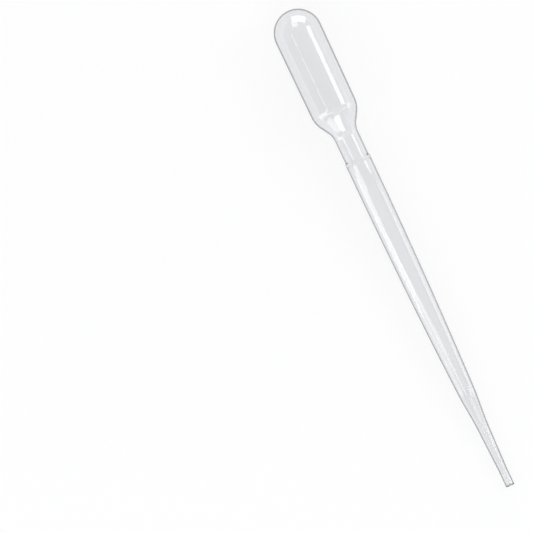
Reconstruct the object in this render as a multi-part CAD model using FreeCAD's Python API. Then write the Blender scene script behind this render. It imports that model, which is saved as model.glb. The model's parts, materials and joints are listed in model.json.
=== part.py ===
import FreeCAD, Part
from collections import namedtuple
import math
import os

# A plastic dropper pipette for a biology lab, blown in one piece from thin clear plastic.
# From the crown down: a domed squeeze bulb, an S-shaped shoulder that draws in to a short
# neck, a ring bead, and a long hollow stem that bows in to a fine tip, cut off square.
# The inside follows the outside all the way, and opens only at the tip.
#
# Millimetres and degrees. A station is a distance along the axis from the crown of the dome.
# The pipette lies along X as it comes to rest, on the shoulder of its bulb and the rim of its
# tip, with the tip at +X. Z is up, and the origin is on the floor under the middle of it.

# Lengths along the axis
overall_length = 155.0
bulb_length = 33.65  # crown to where the bulb's wall and the shoulder's flank would cross
neck_length = 8.7  # foot of the flank to the ring
collar_length = 5.8  # straight stem below the ring
reduction_length = 9.15  # steeper draw at the end of the stem
fine_length = 15.55  # slow draw after it
tip_length = 5.0  # straight end

# Outside diameters
bulb_diameter = 14.44  # at the dome
neck_diameter = 7.46
stem_diameter = 7.9
stem_end_diameter = 5.27
fine_diameter = 3.72  # where the slow draw starts
tip_diameter = 2.66
ring_height = 0.13  # how proud the ring stands of the larger of neck and stem

# Slopes from the axis
bulb_draft = 0.36  # narrowing of the bulb's wall towards the neck
shoulder_angle = 30.8
ring_angle = 30.0  # flanks of the ring

# Walls and bore
bulb_wall = 0.5
neck_wall = 0.6
stem_wall = 0.65
stem_end_wall = 0.6
fine_wall = 0.52
tip_bore = 1.7

flat_depth = 0.12  # how far the soft shoulder is pressed in where it lies

# Blends, as radii on the outside
shoulder_top_blend = 7.9
shoulder_foot_blend = 5.8
ring_root_blend = 0.6
ring_crest_blend = 0.9
step_blend = 4.0  # under the ring
reduction_blend = 40.0
fine_blend = 60.0
tip_blend = 50.0

# Sizes and stations that follow
draft = math.radians(bulb_draft)
shoulder_flank = math.radians(shoulder_angle)
ring_flank = math.radians(ring_angle)
dome_radius = bulb_diameter / 2
shoulder_radius = dome_radius / math.cos(draft) - (bulb_length - dome_radius) * math.tan(draft)
neck_radius = neck_diameter / 2
stem_radius = stem_diameter / 2
stem_end_radius = stem_end_diameter / 2
tip_radius = tip_diameter / 2
tip_wall = tip_radius - tip_bore / 2
shoulder_foot = bulb_length + (shoulder_radius - neck_radius) / math.tan(shoulder_flank)
ring_start = shoulder_foot + neck_length
ring_radius = max(neck_radius, stem_radius) + ring_height
ring_peak = ring_radius + ring_crest_blend * (1 / math.cos(ring_flank) - 1)  # of the flanks
ring_middle = ring_start + (ring_peak - neck_radius) / math.tan(ring_flank)
ring_end = ring_middle + (ring_peak - stem_radius) / math.tan(ring_flank)
collar_end = ring_end + collar_length
tip_start = overall_length - tip_length
fine_start = tip_start - fine_length
stem_end = fine_start - reduction_length

bow_spans = 4
same_place = 1e-6  # points nearer than this are one

# A corner is where two straight runs of the profile would cross. blend is the radius that
# rounds it, and wall is how thick the plastic is there.
Corner = namedtuple("Corner", "station radius blend wall")


def heading(start, end):
    """Slope of the run between two corners, below zero where the pipette narrows."""
    return math.atan2(end.radius - start.radius, end.station - start.station)


def turn_at(before, corner, after):
    return heading(corner, after) - heading(before, corner)


def reach(before, corner, after):
    """How much of each of its two runs a corner's blend takes up."""
    return corner.blend * math.tan(abs(turn_at(before, corner, after)) / 2)


def bow():
    """The long bow of the stem below its collar, as short straight tapers on one parabola."""
    corners = []
    for i in range(bow_spans):
        share = i / bow_spans
        corners.append(
            Corner(
                collar_end + share * (stem_end - collar_end),
                stem_radius + share**2 * (stem_end_radius - stem_radius),
                0.0,
                stem_wall + share * (stem_end_wall - stem_wall),
            )
        )
    return corners


def bulb_corners():
    """The end of the dome, and the top and foot of the shoulder."""
    dome_end = dome_radius * (1 + math.sin(draft))
    return [
        Corner(dome_end, dome_radius * math.cos(draft), 0.0, bulb_wall),
        Corner(bulb_length, shoulder_radius, shoulder_top_blend, bulb_wall),
        Corner(shoulder_foot, neck_radius, shoulder_foot_blend, neck_wall),
    ]


def ring_step():
    """The step from neck to stem that the ring sits over, which is all that the inside has."""
    return [
        Corner(ring_start, neck_radius, step_blend, neck_wall),
        Corner(ring_end, stem_radius, step_blend, stem_wall),
    ]


def ring_bead():
    """The root of the ring on the neck, its rounded crest, and its foot on the stem."""
    return [
        Corner(ring_start, neck_radius, ring_root_blend, neck_wall),
        Corner(ring_middle, ring_peak, ring_crest_blend, stem_wall),
        Corner(ring_end, stem_radius, 0.0, stem_wall),
    ]


def stem_corners():
    """The bow of the stem, its reduction, the slow draw and the straight tip."""
    return bow() + [
        Corner(stem_end, stem_end_radius, reduction_blend, stem_end_wall),
        Corner(fine_start, fine_diameter / 2, fine_blend, fine_wall),
        Corner(tip_start, tip_radius, tip_blend, tip_wall),
        Corner(overall_length, tip_radius, 0.0, tip_wall),
    ]


def fitted(corners):
    """The corners, with each blend cut back where its runs are too short for it."""
    inner = range(1, len(corners) - 1)
    reaches = [0.0] + [reach(*corners[i - 1 : i + 2]) for i in inner] + [0.0]
    shares = [1.0] * len(corners)
    for i in range(len(corners) - 1):
        start, end = corners[i], corners[i + 1]
        run = math.hypot(end.station - start.station, end.radius - start.radius)
        share = min(1.0, run / max(reaches[i] + reaches[i + 1], run))
        shares[i] = min(shares[i], share)
        shares[i + 1] = min(shares[i + 1], share)
    return [corner._replace(blend=corner.blend * share) for corner, share in zip(corners, shares)]


def inset(corners):
    """The corners of the inside: each run is moved in, square to itself, by its wall."""
    slopes = [heading(start, end) for start, end in zip(corners, corners[1:])]
    inside = []
    for corner, way_in, way_out in zip(corners, slopes[:1] + slopes, slopes + slopes[-1:]):
        middle = (way_in + way_out) / 2
        depth = corner.wall / math.cos((way_out - way_in) / 2)
        blend = corner.blend and corner.blend + math.copysign(corner.wall, way_out - way_in)
        inside.append(
            corner._replace(
                station=corner.station + depth * math.sin(middle),
                radius=corner.radius - depth * math.cos(middle),
                blend=max(blend, 0.0),
            )
        )
    return inside


def point(station, radius):
    return FreeCAD.Vector(station, 0, radius)


def shifted(corner, distance, slope):
    """The point at a distance from a corner, in the direction of a slope."""
    return point(
        corner.station + distance * math.cos(slope), corner.radius + distance * math.sin(slope)
    )


def line(start, end):
    return Part.LineSegment(start, end).toShape()


def dome(corner):
    """A quarter of a ball, in profile, from the crown to the corner where the wall leaves it."""
    ball = math.hypot(corner.station - dome_radius, corner.radius)
    half_way = (math.pi / 2 + draft) / 2
    middle = point(dome_radius - ball * math.cos(half_way), ball * math.sin(half_way))
    crown = point(dome_radius - ball, 0)
    return Part.Arc(crown, middle, point(corner.station, corner.radius)).toShape()


def rounded(before, corner, after):
    """The start, middle and end of the arc that blends a corner into its two runs."""
    way_in = heading(before, corner)
    turn = turn_at(before, corner, after)
    back = reach(before, corner, after)
    bulge = corner.blend * (1 / math.cos(turn / 2) - 1)
    inward = way_in + turn / 2 + math.copysign(math.pi / 2, turn)
    return (
        shifted(corner, -back, way_in),
        shifted(corner, bulge, inward),
        shifted(corner, back, way_in + turn),
    )


def chain(corners):
    """Straight runs through the corners, each corner rounded by its blend."""
    edges = []
    last = point(corners[0].station, corners[0].radius)
    for before, corner, after in zip(corners, corners[1:], corners[2:]):
        start, middle, end = rounded(before, corner, after)
        if (start - last).Length > same_place:
            edges.append(line(last, start))
        if (end - start).Length > same_place:
            edges.append(Part.Arc(start, middle, end).toShape())
        last = end
    edges.append(line(last, point(corners[-1].station, corners[-1].radius)))
    return edges


def half_section(outside, inside):
    """The closed outline of the plastic on one side of the axis."""
    rim = line(
        point(outside[-1].station, outside[-1].radius), point(inside[-1].station, inside[-1].radius)
    )
    crown = line(point(0, 0), point(bulb_wall, 0))
    edges = [dome(outside[0])] + chain(outside) + [rim] + chain(inside) + [dome(inside[0]), crown]
    return Part.Face(Part.Wire(Part.__sortEdges__(edges)))


def resting(outside):
    """Tilt of the axis and height of the crown, with the shoulder pressed in by its flat."""
    wall_end, shoulder, flank_end = outside[:3]
    slope = heading(wall_end, shoulder)
    start = rounded(wall_end, shoulder, flank_end)[0]
    centre_station = start.x + shoulder.blend * math.sin(slope)
    centre_radius = start.z - shoulder.blend * math.cos(slope)
    to_floor = shoulder.blend - flat_depth
    tilts = []
    for corner in outside[-4:]:
        along = corner.station - centre_station
        across = centre_radius - corner.radius
        tilts.append(math.atan2(across, along) + math.asin(to_floor / math.hypot(along, across)))
    tilt = min(tilts)
    return tilt, to_floor + centre_radius * math.cos(tilt) + centre_station * math.sin(tilt)


def laid_down(pipette, outside):
    """Tips the pipette onto the floor, so that its ends come equally far from the origin."""
    tilt, crown_height = resting(outside)
    bulb_side = dome_radius * (math.cos(tilt) - 1)
    tip_side = overall_length * math.cos(tilt) + tip_radius * math.sin(tilt)
    pipette.rotate(point(0, 0), FreeCAD.Vector(0, 1, 0), math.degrees(tilt))
    pipette.translate(point(-(bulb_side + tip_side) / 2, crown_height))
    print("lies at", round(math.degrees(tilt), 3), "degrees, crown", round(crown_height, 3), "up")
    return pipette


def pressed_flat(pipette):
    """Takes off what the floor presses in, which leaves the flat spot of the shoulder."""
    corner = FreeCAD.Vector(-overall_length / 2, -bulb_diameter / 2, -bulb_diameter)
    return pipette.cut(Part.makeBox(overall_length, bulb_diameter, bulb_diameter, corner))


def make_pipette():
    outside = fitted(bulb_corners() + ring_bead() + stem_corners())
    inside = fitted(inset(fitted(bulb_corners() + ring_step() + stem_corners())))
    pipette = half_section(outside, inside).revolve(point(0, 0), point(1, 0), 360)
    return pressed_flat(laid_down(pipette, outside)).Solids[0]


os.makedirs("parts", exist_ok=True)
pipette = make_pipette()
pipette.exportStep("parts/pipette.step")
print("plastic", round(pipette.Volume, 1), "cubic millimetres")
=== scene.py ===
import json
import math
import bmesh
import bpy
from mathutils import Matrix, Vector


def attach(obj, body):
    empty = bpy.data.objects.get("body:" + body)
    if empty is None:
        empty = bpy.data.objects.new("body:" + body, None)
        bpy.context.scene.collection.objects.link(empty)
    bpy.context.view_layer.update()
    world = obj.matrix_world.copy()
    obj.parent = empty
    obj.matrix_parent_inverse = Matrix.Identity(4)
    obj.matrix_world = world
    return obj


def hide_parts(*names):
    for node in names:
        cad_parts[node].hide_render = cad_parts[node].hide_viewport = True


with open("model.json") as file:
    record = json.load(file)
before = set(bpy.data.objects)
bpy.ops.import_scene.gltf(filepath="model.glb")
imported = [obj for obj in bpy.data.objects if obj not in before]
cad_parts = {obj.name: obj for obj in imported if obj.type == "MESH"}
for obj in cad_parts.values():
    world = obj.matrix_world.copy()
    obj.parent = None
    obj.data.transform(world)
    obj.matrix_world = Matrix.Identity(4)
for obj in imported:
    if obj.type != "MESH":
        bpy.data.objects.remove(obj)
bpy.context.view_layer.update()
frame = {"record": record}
scene = bpy.context.scene
millimetre = 0.001
print("frame loaded")


# sizes in metres and slopes in degrees; a station is a distance along the axis from the crown
pipetteLook = {
    "length": 0.155,
    "bulbLength": 0.03365,  # from the crown to the shoulder's top corner
    "neckLength": 0.0087,
    "collarLength": 0.0058,  # straight run after the ring
    "reductionLength": 0.00915,  # steeper draw at the end of the stem
    "fineLength": 0.01555,  # slow draw from there to the straight tip
    "tipLength": 0.005,
    "bulbRadius": 0.00722,
    "neckRadius": 0.00373,
    "stemRadius": 0.00395,
    "stemEndRadius": 0.002635,
    "fineRadius": 0.00186,
    "tipRadius": 0.00133,
    "boreRadius": 0.00085,
    "ringHeight": 0.00013,
    "bulbDraft": 0.36,
    "shoulderAngle": 30.8,
    "ringAngle": 30.0,
    "bulbWall": 0.0005,
    "neckWall": 0.0006,
    "stemWall": 0.00065,
    "stemEndWall": 0.0006,
    "fineWall": 0.00052,
    "shoulderTopBlend": 0.0079,
    "shoulderFootBlend": 0.0058,
    "ringRootBlend": 0.0006,
    "ringCrestBlend": 0.0009,
    "ringEdgeShade": 0.35,  # share of the painted dark edge that the ring's crest takes
    "stepBlend": 0.004,
    "reductionBlend": 0.04,
    "fineBlend": 0.06,
    "tipBlend": 0.05,
    "rimBlend": 0.00005,
    "bowSpans": 16,  # straight runs that make the long bow of the stem
    "segments": 160,
    "arcStep": 3.0,  # degrees of a blend to each of its points
    "runStep": 0.002,  # longest piece of a straight run
    "weldGap": 0.0000001,  # points closer than this become one
    "sharpAngle": 26.0,  # edges that turn by more than this stay sharp
}


def heading(start, end):
    return math.atan2(end["radius"] - start["radius"], end["station"] - start["station"])


def corner(station, radius, blend, wall, edgeShade=1.0):
    return {"station": station, "radius": radius, "blend": blend, "wall": wall, "edgeShade": edgeShade}


def bulbCorners(look):
    draft = math.radians(look["bulbDraft"])
    flank = math.radians(look["shoulderAngle"])
    crownCorner = look["bulbRadius"] * math.tan((math.pi / 2 + draft) / 2)
    shoulder = crownCorner - look["bulbLength"] * math.tan(draft)
    foot = look["bulbLength"] + (shoulder - look["neckRadius"]) / math.tan(flank)
    return [
        corner(0.0, crownCorner, look["bulbRadius"], look["bulbWall"]),
        corner(look["bulbLength"], shoulder, look["shoulderTopBlend"], look["bulbWall"]),
        corner(foot, look["neckRadius"], look["shoulderFootBlend"], look["neckWall"]),
    ]


# the ring's flanks meet at the peak, and its crest is the blend under it
def ringPlaces(look, foot):
    slope = math.tan(math.radians(look["ringAngle"]))
    crest = max(look["neckRadius"], look["stemRadius"]) + look["ringHeight"]
    peak = crest + look["ringCrestBlend"] * (1 / math.cos(math.radians(look["ringAngle"])) - 1)
    start = foot + look["neckLength"]
    middle = start + (peak - look["neckRadius"]) / slope
    end = middle + (peak - look["stemRadius"]) / slope
    return {"start": start, "middle": middle, "end": end, "peak": peak}


def ringBead(look, foot):
    ring = ringPlaces(look, foot)
    return [
        corner(ring["start"], look["neckRadius"], look["ringRootBlend"], look["neckWall"]),
        corner(ring["middle"], ring["peak"], look["ringCrestBlend"], look["stemWall"], look["ringEdgeShade"]),
        corner(ring["end"], look["stemRadius"], 0.0, look["stemWall"]),
    ]


# the hollow has no ring, only the step from the neck to the stem
def ringStep(look, foot):
    ring = ringPlaces(look, foot)
    return [
        corner(ring["start"], look["neckRadius"], look["stepBlend"], look["neckWall"]),
        corner(ring["end"], look["stemRadius"], look["stepBlend"], look["stemWall"]),
    ]


def stemCorners(look, foot):
    collarEnd = ringPlaces(look, foot)["end"] + look["collarLength"]
    tipStart = look["length"] - look["tipLength"]
    fineStart = tipStart - look["fineLength"]
    stemEnd = fineStart - look["reductionLength"]
    tipWall = look["tipRadius"] - look["boreRadius"]
    corners = []
    for i in range(look["bowSpans"]):  # the long bow of the stem is a parabola
        share = i / look["bowSpans"]
        corners.append(corner(
            collarEnd + share * (stemEnd - collarEnd),
            look["stemRadius"] + share**2 * (look["stemEndRadius"] - look["stemRadius"]),
            0.0,
            look["stemWall"] + share * (look["stemEndWall"] - look["stemWall"]),
        ))
    return corners + [
        corner(stemEnd, look["stemEndRadius"], look["reductionBlend"], look["stemEndWall"]),
        corner(fineStart, look["fineRadius"], look["fineBlend"], look["fineWall"]),
        corner(tipStart, look["tipRadius"], look["tipBlend"], tipWall),
        corner(look["length"], look["tipRadius"], look["rimBlend"], tipWall),
    ]


# the inside follows the outside: each run moves in, square to itself, by its wall,
# so a round blend shrinks by the wall and a hollow one grows by it; the rim keeps its own
def insetCorners(corners, look):
    crown = corner(0.0, 0.0, 0.0, look["bulbWall"])
    chain = [crown] + corners
    slopes = [heading(a, b) for a, b in zip(chain, chain[1:])] + [0.0]
    inside = []
    for here, wayIn, wayOut in zip(corners, slopes, slopes[1:]):
        middle = (wayIn + wayOut) / 2
        depth = here["wall"] / math.cos((wayOut - wayIn) / 2)
        blend = here["blend"]
        if blend and here is not corners[-1]:
            blend = max(blend + math.copysign(here["wall"], wayOut - wayIn), 0.0)
        inside.append(corner(
            here["station"] + depth * math.sin(middle),
            here["radius"] - depth * math.cos(middle),
            blend,
            0.0,
            0.0,
        ))
    return inside


def profileCorners(look):
    bulb = bulbCorners(look)
    foot = bulb[-1]["station"]
    stem = stemCorners(look, foot)
    outside = bulb + ringBead(look, foot) + stem
    inside = insetCorners(bulb + ringStep(look, foot) + stem, look)
    crown = corner(0.0, 0.0, 0.0, 0.0)
    innerCrown = corner(look["bulbWall"], 0.0, 0.0, 0.0, 0.0)
    return [crown] + outside + inside[::-1] + [innerCrown]


def profileMesh(name, corners, look):
    mesh = bpy.data.meshes.new(name)
    places = [(c["station"], 0.0, c["radius"]) for c in corners]
    mesh.from_pydata(places, [(i, i + 1) for i in range(len(places) - 1)], [])
    for value, kind in (("blend", "FLOAT"), ("arcPoints", "INT"), ("edgeShade", "FLOAT")):
        mesh.attributes.new(value, kind, "POINT")
    for i, c in enumerate(corners):
        mesh.attributes["blend"].data[i].value = c["blend"]
        mesh.attributes["edgeShade"].data[i].value = c["edgeShade"]
        if 0 < i < len(corners) - 1:
            turn = abs(heading(c, corners[i + 1]) - heading(corners[i - 1], c))
            turn = min(turn, 2 * math.pi - turn)
            points = max(2, round(math.degrees(turn) / look["arcStep"]))
            mesh.attributes["arcPoints"].data[i].value = points
    return mesh


def addNode(tree, kind, settings=None, values=None):
    node = tree.nodes.new(kind)
    for key, value in (settings or {}).items():
        setattr(node, key, value)
    for key, value in (values or {}).items():
        if isinstance(value, bpy.types.NodeSocket):
            tree.links.new(value, node.inputs[key])
        else:
            node.inputs[key].default_value = value
    return node


def maths(tree, operation, first, second=0.0, clamped=False):
    settings = {"operation": operation, "use_clamp": clamped}
    return addNode(tree, "ShaderNodeMath", settings, {0: first, 1: second}).outputs[0]


def wholeMaths(tree, operation, first, second):
    node = addNode(tree, "FunctionNodeIntegerMath", {"operation": operation}, {0: first, 1: second})
    return node.outputs[0]


def namedValue(tree, name, kind="FLOAT"):
    node = addNode(tree, "GeometryNodeInputNamedAttribute", {"data_type": kind}, {"Name": name})
    return node.outputs["Attribute"]


def sampled(tree, shape, value, index, kind="FLOAT"):
    node = addNode(tree, "GeometryNodeSampleIndex", {"data_type": kind, "domain": "POINT"}, {
        "Geometry": shape,
        "Value": value,
        "Index": index,
    })
    return node.outputs[0]


# the corners become a curve, with its blends rounded and its long runs divided
def dividedProfile(tree, given):
    curve = addNode(tree, "GeometryNodeMeshToCurve", None, {"Mesh": given["Profile"]})
    fillet = addNode(tree, "GeometryNodeFilletCurve", {"mode": "POLY"}, {
        "Curve": curve.outputs[0],
        "Count": namedValue(tree, "arcPoints", "INT"),
        "Radius": namedValue(tree, "blend"),
        "Limit Radius": True,
    })
    place = addNode(tree, "GeometryNodeInputPosition").outputs[0]
    here = addNode(tree, "GeometryNodeInputIndex").outputs[0]
    ahead = addNode(tree, "GeometryNodeFieldAtIndex", {"data_type": "FLOAT_VECTOR", "domain": "POINT"}, {
        "Value": place,
        "Index": wholeMaths(tree, "ADD", here, 1),
    })
    run = addNode(tree, "ShaderNodeVectorMath", {"operation": "DISTANCE"}, {0: place, 1: ahead.outputs[0]})
    cuts = maths(tree, "DIVIDE", run.outputs["Value"], given["Run Step"])
    divided = addNode(tree, "GeometryNodeSubdivideCurve", None, {
        "Curve": fillet.outputs[0],
        "Cuts": maths(tree, "FLOOR", cuts),
    })
    return divided.outputs[0]


# a sheet with one row to each point of the profile, wrapped round the axis and welded shut
def wrappedSheet(tree, given, profile):
    size = addNode(tree, "GeometryNodeAttributeDomainSize", {"component": "CURVE"}, {"Geometry": profile})
    columns = wholeMaths(tree, "ADD", given["Segments"], 1)
    sheet = addNode(tree, "GeometryNodeMeshGrid", None, {
        "Vertices X": size.outputs["Point Count"],
        "Vertices Y": columns,
    })
    here = addNode(tree, "GeometryNodeInputIndex").outputs[0]
    row = wholeMaths(tree, "DIVIDE_FLOOR", here, columns)
    column = wholeMaths(tree, "MODULO", here, columns)
    share = maths(tree, "DIVIDE", column, given["Segments"])
    place = addNode(tree, "GeometryNodeInputPosition").outputs[0]
    turned = addNode(tree, "ShaderNodeVectorRotate", {"rotation_type": "X_AXIS"}, {
        "Vector": sampled(tree, profile, place, row, "FLOAT_VECTOR"),
        "Angle": maths(tree, "MULTIPLY", share, 2 * math.pi),
    })
    # each row carries its share of the painted dark edge
    marked = addNode(tree, "GeometryNodeStoreNamedAttribute", {"data_type": "FLOAT", "domain": "POINT"}, {
        "Geometry": sheet.outputs["Mesh"],
        "Name": "edgeShade",
        "Value": sampled(tree, profile, namedValue(tree, "edgeShade"), row),
    })
    wrapped = addNode(tree, "GeometryNodeSetPosition", None, {
        "Geometry": marked.outputs[0],
        "Position": turned.outputs[0],
    })
    welded = addNode(tree, "GeometryNodeMergeByDistance", None, {
        "Geometry": wrapped.outputs[0],
        "Distance": given["Weld Gap"],
    })
    return welded.outputs[0]


# laid down on the floor, which presses the soft shoulder flat
def laidDown(tree, given, shape):
    dip = addNode(tree, "ShaderNodeCombineXYZ", None, {"Y": given["Dip"]})
    laid = addNode(tree, "GeometryNodeTransform", None, {
        "Geometry": shape,
        "Translation": given["Crown Place"],
        "Rotation": dip.outputs[0],
    })
    place = addNode(tree, "GeometryNodeInputPosition")
    apart = addNode(tree, "ShaderNodeSeparateXYZ", None, {0: place.outputs[0]})
    pressed = addNode(tree, "ShaderNodeCombineXYZ", None, {
        "X": apart.outputs["X"],
        "Y": apart.outputs["Y"],
        "Z": maths(tree, "MAXIMUM", apart.outputs["Z"], given["Floor Height"]),
    })
    flat = addNode(tree, "GeometryNodeSetPosition", None, {
        "Geometry": laid.outputs[0],
        "Position": pressed.outputs[0],
    })
    return flat.outputs[0]


# smooth but for the edges that are sharp on the moulding
def smoothed(tree, given, shape):
    edge = addNode(tree, "GeometryNodeInputMeshEdgeAngle")
    faces = addNode(tree, "GeometryNodeSetShadeSmooth", {"domain": "FACE"}, {
        "Geometry": shape,
        "Shade Smooth": True,
    })
    edges = addNode(tree, "GeometryNodeSetShadeSmooth", {"domain": "EDGE"}, {
        "Geometry": faces.outputs[0],
        "Shade Smooth": maths(tree, "LESS_THAN", edge.outputs["Unsigned Angle"], given["Sharp Angle"]),
    })
    return edges.outputs[0]


def turningTree():
    tree = bpy.data.node_groups.new("turnedPipette", "GeometryNodeTree")
    sockets = tree.interface
    for name, kind in (
        ("Profile", "NodeSocketGeometry"),
        ("Segments", "NodeSocketInt"),
        ("Run Step", "NodeSocketFloat"),
        ("Weld Gap", "NodeSocketFloat"),
        ("Sharp Angle", "NodeSocketFloat"),
        ("Crown Place", "NodeSocketVector"),
        ("Dip", "NodeSocketFloat"),
        ("Floor Height", "NodeSocketFloat"),
        ("Plastic", "NodeSocketMaterial"),
    ):
        sockets.new_socket(name, in_out="INPUT", socket_type=kind)
    sockets.new_socket("Pipette", in_out="OUTPUT", socket_type="NodeSocketGeometry")
    given = addNode(tree, "NodeGroupInput").outputs
    sheet = wrappedSheet(tree, given, dividedProfile(tree, given))
    lying = smoothed(tree, given, laidDown(tree, given, sheet))
    real = addNode(tree, "GeometryNodeRealizeInstances", None, {"Geometry": lying})
    painted = addNode(tree, "GeometryNodeSetMaterial", None, {
        "Geometry": real.outputs[0],
        "Material": given["Plastic"],
    })
    result = addNode(tree, "NodeGroupOutput")
    tree.links.new(painted.outputs[0], result.inputs[0])
    return tree


# a pair of depths says where a look starts and where it is full
plasticLook = {
    "ior": 1.51,
    "tint": (0.30, 0.35, 0.45, 1.0),
    "density": 170.0,  # to a metre
    "clear": (1.0, 1.0, 1.0, 1.0),
    # painted shade: the dark colours that the outline and the cut end are painted with
    "stemEdgeShade": (0.21, 0.215, 0.23, 1.0),
    "bulbEdgeShade": (0.02, 0.024, 0.032, 1.0),
    "edgeDepth": (0.00053, 0.00028),  # of the painted dark edge, in from the outline
    "cutDepth": (0.00035, 0.0002),  # of the same, in from the cut end
    "bulbSideShade": (0.91, 0.91, 0.92, 1.0),  # painted shade on the bulb's sides, next to the painted dark edge
    "sideShadeDepth": (0.36, 0.26),  # in from the outline, as a share of the radius
    "roughness": (0.02, 0.05),  # lowest and highest, along the draw marks
    "markRange": (0.3, 0.7),  # the values of the noise that give those two
    "drawMarks": 900.0,  # to a metre round the pipette
    "drawStretch": 0.03,  # how fast a mark changes along the pipette, next to round it
    "markDetail": 3.0,
    "markGrain": 0.6,  # roughness of the noise
    "markHeight": 0.000001,
    "wave": 160.0,  # unevenness of the blown wall, to a metre
    "waveDetail": 1.5,
    "waveGrain": 0.45,
    "waveHeight": 0.000004,
}


def clearedTree(owner):
    owner.use_nodes = True
    owner.node_tree.nodes.clear()
    return owner.node_tree


def mixColours(tree, share, first, second):
    mix = addNode(tree, "ShaderNodeMix", {"data_type": "RGBA"}, {0: share, 6: first, 7: second})
    return mix.outputs[2]


def mapRange(tree, value, taken, wanted=(0.0, 1.0), kind="LINEAR"):
    return addNode(tree, "ShaderNodeMapRange", {"interpolation_type": kind}, {
        "Value": value,
        "From Min": taken[0],
        "From Max": taken[1],
        "To Min": wanted[0],
        "To Max": wanted[1],
    }).outputs[0]


def noise(tree, place, scale, detail, grain):
    return addNode(tree, "ShaderNodeTexNoise", None, {
        "Vector": place,
        "Scale": scale,
        "Detail": detail,
        "Roughness": grain,
    }).outputs["Fac"]


def dipOf(axis):
    return math.asin(-axis.z)


# places on the pipette, with X along its axis from the crown
def alongPipette(tree, axis, crown):
    dip = dipOf(axis)
    start = Matrix.Rotation(-dip, 3, "Y") @ crown
    coordinates = addNode(tree, "ShaderNodeTexCoord")
    along = addNode(tree, "ShaderNodeMapping", {"vector_type": "POINT"}, {
        "Vector": coordinates.outputs["Object"],
        "Location": tuple(-start),
        "Rotation": (0.0, -dip, 0.0),
    })
    return along.outputs[0]


# the distance from the axis, and on the dome from the dome's centre
def roundRadius(tree, parts):
    fromAxis = addNode(tree, "ShaderNodeCombineXYZ", None, {
        "X": maths(tree, "SUBTRACT", pipetteLook["bulbRadius"], parts["X"], clamped=True),
        "Y": parts["Y"],
        "Z": parts["Z"],
    })
    radius = addNode(tree, "ShaderNodeVectorMath", {"operation": "LENGTH"}, {0: fromAxis.outputs[0]})
    return radius.outputs["Value"]


# how far in from the outline of a round wall, as a share of its radius
def inwardShare(tree):
    facing = addNode(tree, "ShaderNodeLayerWeight", None, {"Blend": 0.5})  # 0.5 keeps it plain
    cosine = maths(tree, "SUBTRACT", 1.0, facing.outputs["Facing"])
    slant = maths(tree, "ARCCOSINE", cosine)
    return maths(tree, "SUBTRACT", 1.0, maths(tree, "SINE", slant))


# painted shade: where a wall is seen edge on its colour is darkened towards the edge colours, which paints
# the dark outline, darker on the bulb than on the stem; the cut end is darkened the same way
def plasticColour(tree, look, along):
    parts = addNode(tree, "ShaderNodeSeparateXYZ", None, {0: along}).outputs
    radius = roundRadius(tree, parts)
    inward = inwardShare(tree)
    edgeShade = addNode(tree, "ShaderNodeAttribute", {"attribute_name": "edgeShade"}).outputs["Fac"]
    # painted shade: the share of the dark edge colour, by how edge on the wall is seen and by nearness to
    # the cut end
    cutEnd = [pipetteLook["length"] - depth for depth in look["cutDepth"]]
    edgeShare = mapRange(tree, maths(tree, "MULTIPLY", inward, radius), look["edgeDepth"], (0.0, edgeShade))
    cutShare = mapRange(tree, parts["X"], cutEnd, (0.0, edgeShade))
    edgeShadeShare = maths(tree, "MAXIMUM", edgeShare, cutShare)
    bulbShare = mapRange(tree, radius, (pipetteLook["stemRadius"], pipetteLook["bulbRadius"]))
    # painted shade: the bulb's sides are darkened by how far in from the outline they are seen
    sideShare = mapRange(tree, inward, look["sideShadeDepth"], (0.0, edgeShade))
    sideShadeShare = maths(tree, "MULTIPLY", sideShare, bulbShare)
    body = mixColours(tree, sideShadeShare, look["clear"], look["bulbSideShade"])
    edge = mixColours(tree, bulbShare, look["stemEdgeShade"], look["bulbEdgeShade"])
    return mixColours(tree, edgeShadeShare, body, edge)


def clearPlastic(look, axis, crown):
    material = bpy.data.materials.new("clearPlastic")
    tree = clearedTree(material)
    along = alongPipette(tree, axis, crown)
    stretched = addNode(tree, "ShaderNodeMapping", {"vector_type": "POINT"}, {
        "Vector": along,
        "Scale": (look["drawStretch"], 1.0, 1.0),
    })
    marks = noise(tree, stretched.outputs[0], look["drawMarks"], look["markDetail"], look["markGrain"])
    waves = noise(tree, along, look["wave"], look["waveDetail"], look["waveGrain"])
    waveBump = addNode(tree, "ShaderNodeBump", None, {
        "Height": waves,
        "Strength": 1.0,
        "Distance": look["waveHeight"],
    })
    markBump = addNode(tree, "ShaderNodeBump", None, {
        "Height": marks,
        "Strength": 1.0,
        "Distance": look["markHeight"],
        "Normal": waveBump.outputs[0],
    })
    surface = addNode(tree, "ShaderNodeBsdfPrincipled", None, {
        "Base Color": plasticColour(tree, look, along),
        "Roughness": mapRange(tree, marks, look["markRange"], look["roughness"]),
        "IOR": look["ior"],
        "Transmission Weight": 1.0,
        "Normal": markBump.outputs[0],
    })
    absorbed = addNode(tree, "ShaderNodeVolumeAbsorption", None, {
        "Color": look["tint"],
        "Density": look["density"],
    })
    output = addNode(tree, "ShaderNodeOutputMaterial")
    tree.links.new(surface.outputs[0], output.inputs["Surface"])
    tree.links.new(absorbed.outputs[0], output.inputs["Volume"])
    return material


# the frame says where the cut end lies and which way the axis points
def lyingAxis():
    for mount in frame["record"]["mounts"]:
        if mount["name"] == "tip_end":
            axis = Vector(mount["axis"]).normalized()
            end = Vector(mount["pos_m"]) + axis * (mount["dims"]["length_mm"] * millimetre / 2)
            return axis, end - axis * pipetteLook["length"]
    raise SystemExit("the frame has no mount named tip_end")


def addObject(name, data):
    made = bpy.data.objects.new(name, data)
    scene.collection.objects.link(made)
    return made


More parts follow.
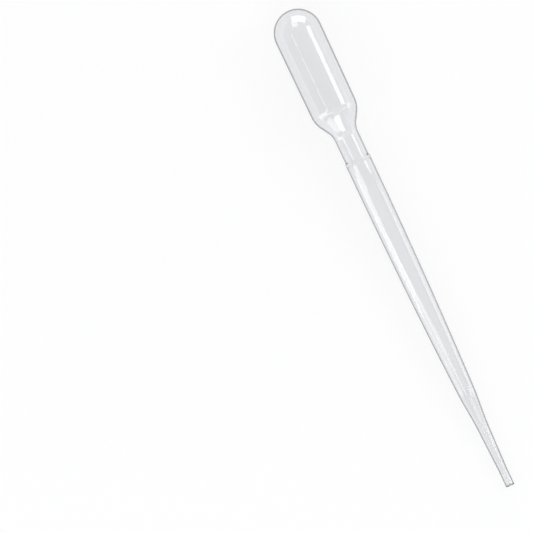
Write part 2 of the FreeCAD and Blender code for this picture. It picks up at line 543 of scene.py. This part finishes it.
# the tree's result as a plain mesh, with its faces pointing outwards
def makePlain(piece):
    shapes = bpy.context.evaluated_depsgraph_get()
    plain = bpy.data.meshes.new_from_object(piece.evaluated_get(shapes))
    piece.modifiers.clear()
    piece.data = plain
    plain.name = piece.name
    faces = bmesh.new()
    faces.from_mesh(plain)
    bmesh.ops.recalc_face_normals(faces, faces=faces.faces)
    openEdges = sum(1 for edge in faces.edges if not edge.is_manifold)
    volume = faces.calc_volume(signed=True) / millimetre**3
    faces.to_mesh(plain)
    faces.free()
    print(piece.name, len(plain.vertices), "points", len(plain.polygons), "faces",
          openEdges, "open edges", round(volume, 1), "cubic millimetres")


def makePipette(look, plastic, axis, crown):
    pipette = addObject("clearPipette", profileMesh("pipetteProfile", profileCorners(look), look))
    turning = pipette.modifiers.new("turning", "NODES")
    turning.node_group = turningTree()
    values = {
        "Segments": look["segments"],
        "Run Step": look["runStep"],
        "Weld Gap": look["weldGap"],
        "Sharp Angle": math.radians(look["sharpAngle"]),
        "Crown Place": tuple(crown),
        "Dip": dipOf(axis),
        "Floor Height": 0.0,
        "Plastic": plastic,
    }
    for item in turning.node_group.interface.items_tree:
        if item.in_out == "INPUT" and item.name in values:
            turning[item.identifier] = values[item.name]
    pipette.update_tag()
    makePlain(pipette)
    return pipette


axis, crown = lyingAxis()
plastic = clearPlastic(plasticLook, axis, crown)
clearPipette = makePipette(pipetteLook, plastic, axis, crown)
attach(clearPipette, "root")
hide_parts("pipette")
print("pipette made")


studioLook = {
    "floorSize": 60.0,
    "floorDrop": 0.00003,  # keeps the floor clear of what lies on it
    "floorColour": (0.12, 0.12, 0.12, 1.0),
    "floorGlow": 0.865,
    "skyThrough": 0.35,  # how far the sky seen through the plastic goes towards the horizon's colour
    "sky": (0.27, 0.274, 0.29, 1.0),
    "horizon": (0.96, 0.96, 0.96, 1.0),
    "horizonHeight": (0.22, 0.11),  # how high in the sky the horizon's colour starts and is full
}


# the pale floor and horizon are seen by the camera, in reflections and through the plastic
def seenShare(tree):
    ray = addNode(tree, "ShaderNodeLightPath").outputs
    direct = maths(tree, "MAXIMUM", ray["Is Camera Ray"], ray["Is Glossy Ray"])
    return maths(tree, "MAXIMUM", direct, ray["Is Transmission Ray"])


def makeFloor(look):
    half = look["floorSize"] / 2
    corners = ((-half, -half), (half, -half), (half, half), (-half, half))
    mesh = bpy.data.meshes.new("floor")
    mesh.from_pydata([(x, y, -look["floorDrop"]) for x, y in corners], [], [(0, 1, 2, 3)])
    material = bpy.data.materials.new("paleFloor")
    tree = clearedTree(material)
    glow = addNode(tree, "ShaderNodeEmission", None, {
        "Color": (1.0, 1.0, 1.0, 1.0),
        "Strength": maths(tree, "MULTIPLY", seenShare(tree), look["floorGlow"]),
    })
    matt = addNode(tree, "ShaderNodeBsdfDiffuse", None, {"Color": look["floorColour"]})
    both = addNode(tree, "ShaderNodeAddShader", None, {0: glow.outputs[0], 1: matt.outputs[0]})
    output = addNode(tree, "ShaderNodeOutputMaterial")
    tree.links.new(both.outputs[0], output.inputs["Surface"])
    mesh.materials.append(material)
    addObject("floor", mesh)


def makeSurroundings(look):
    scene.world = bpy.data.worlds.new("surroundings")
    tree = clearedTree(scene.world)
    coordinates = addNode(tree, "ShaderNodeTexCoord")
    direction = addNode(tree, "ShaderNodeSeparateXYZ", None, {0: coordinates.outputs["Generated"]})
    low = mapRange(tree, direction.outputs["Z"], look["horizonHeight"], kind="SMOOTHSTEP")
    pale = maths(tree, "MULTIPLY", low, seenShare(tree))
    ray = addNode(tree, "ShaderNodeLightPath").outputs
    through = maths(tree, "MULTIPLY", ray["Is Transmission Ray"], look["skyThrough"])
    colour = mixColours(tree, maths(tree, "MAXIMUM", pale, through), look["sky"], look["horizon"])
    background = addNode(tree, "ShaderNodeBackground", None, {"Color": colour, "Strength": 1.0})
    output = addNode(tree, "ShaderNodeOutputWorld")
    tree.links.new(background.outputs[0], output.inputs["Surface"])


makeFloor(studioLook)
makeSurroundings(studioLook)
print("studio made")


# on is the point it shines on, tilt its angle from straight up and round its bearing from +X,
# away its distance, size its width and height, bright how bright its face looks,
# and through whether it is also seen through the plastic
softboxes = {
    "keyStrip": {"on": (-0.073, 0.0, 0.008), "tilt": 52.6, "round": 90.0, "away": 0.5,
                 "size": (0.157, 0.170), "bright": 6.0, "through": False},
    "headBox": {"on": (-0.070, 0.0, 0.010), "tilt": 69.5, "round": 154.7, "away": 0.5,
                "size": (0.52, 0.335), "bright": 3.0, "through": True},
    "footBox": {"on": (-0.040, 0.0, 0.010), "tilt": 53.0, "round": -5.0, "away": 0.5,
                "size": (0.24, 0.25), "bright": 3.2, "through": True},
    "spotBox": {"on": (-0.072, 0.0, 0.012), "tilt": 33.0, "round": 180.0, "away": 0.5,
                "size": (0.15, 0.05), "bright": 5.0, "through": False},
    "topBox": {"on": (0.040, 0.0, 0.0), "tilt": 6.1, "round": 0.0, "away": 0.51,
               "size": (1.0, 0.144), "bright": 0.6, "through": False},
    "stemBox": {"on": (0.041, 0.0, 0.005), "tilt": 66.5, "round": -90.0, "away": 0.5,
                "size": (0.091, 0.46), "bright": 4.4, "through": False},
    "leftStrip": {"on": (0.1265, -0.46, 0.0), "tilt": 1.0, "round": 84.7, "away": 0.5,
                  "size": (0.075, 0.68), "bright": 3.2, "through": False},
    "rightStrip": {"on": (0.227, 0.53, 0.0), "tilt": 1.0, "round": 84.7, "away": 0.5,
                   "size": (0.05, 0.38), "bright": 4.0, "through": False},
    "middleStrip": {"on": (0.238, 0.13, 0.0), "tilt": 1.0, "round": 84.7, "away": 0.5,
                    "size": (0.05, 0.45), "bright": 2.0, "through": False},
    "stemTail": {"on": (0.1215, 0.0, 0.005), "tilt": 66.5, "round": -90.0, "away": 0.5,
                 "size": (0.07, 0.46), "bright": 2.0, "through": False},
    "edgeBox": {"on": (0.083, 0.0, 0.004), "tilt": 77.0, "round": 90.0, "away": 0.5,
                "size": (0.158, 0.20), "bright": 2.5, "through": False},
    "neckBox": {"on": (0.004, 0.0, 0.005), "tilt": 36.0, "round": -90.0, "away": 0.5,
                "size": (0.030, 0.12), "bright": 3.0, "through": False},
    "thinLine": {"on": (-0.083, 0.0, 0.005), "tilt": 33.0, "round": -90.0, "away": 0.5,
                 "size": (0.130, 0.02), "bright": 6.0, "through": False},
}


def makeSoftbox(name, look):
    tilt, bearing = math.radians(look["tilt"]), math.radians(look["round"])
    away = Vector((math.sin(tilt) * math.cos(bearing), math.sin(tilt) * math.sin(bearing), math.cos(tilt)))
    lamp = bpy.data.lights.new(name, "AREA")
    lamp.shape = "RECTANGLE"
    lamp.size, lamp.size_y = look["size"]
    lamp.energy = look["bright"] * math.pi * look["size"][0] * look["size"][1]
    box = addObject(name, lamp)
    box.location = Vector(look["on"]) + away * look["away"]
    box.rotation_euler = away.to_track_quat("Z", "Y").to_euler()
    box.visible_transmission = look["through"]


for name, look in softboxes.items():
    makeSoftbox(name, look)
print("softboxes made")


# straight overhead, with a long lens; the lens and its sensor are in millimetres
cameraLook = {
    "place": (-0.012114, -0.037696, 0.879273),
    "turn": 64.7575,
    "lens": 200.0,
    "sensor": 36.0,
    "nearest": 0.01,
    "farthest": 100.0,
}


def makeCamera(look):
    data = bpy.data.cameras.new("camera")
    data.lens = look["lens"]
    data.sensor_width = look["sensor"]
    data.clip_start = look["nearest"]
    data.clip_end = look["farthest"]
    camera = addObject("camera", data)
    camera.location = look["place"]
    camera.rotation_euler = (0.0, 0.0, math.radians(look["turn"]))
    scene.camera = camera


makeCamera(cameraLook)
scene.view_settings.view_transform = "Standard"
print("camera set")
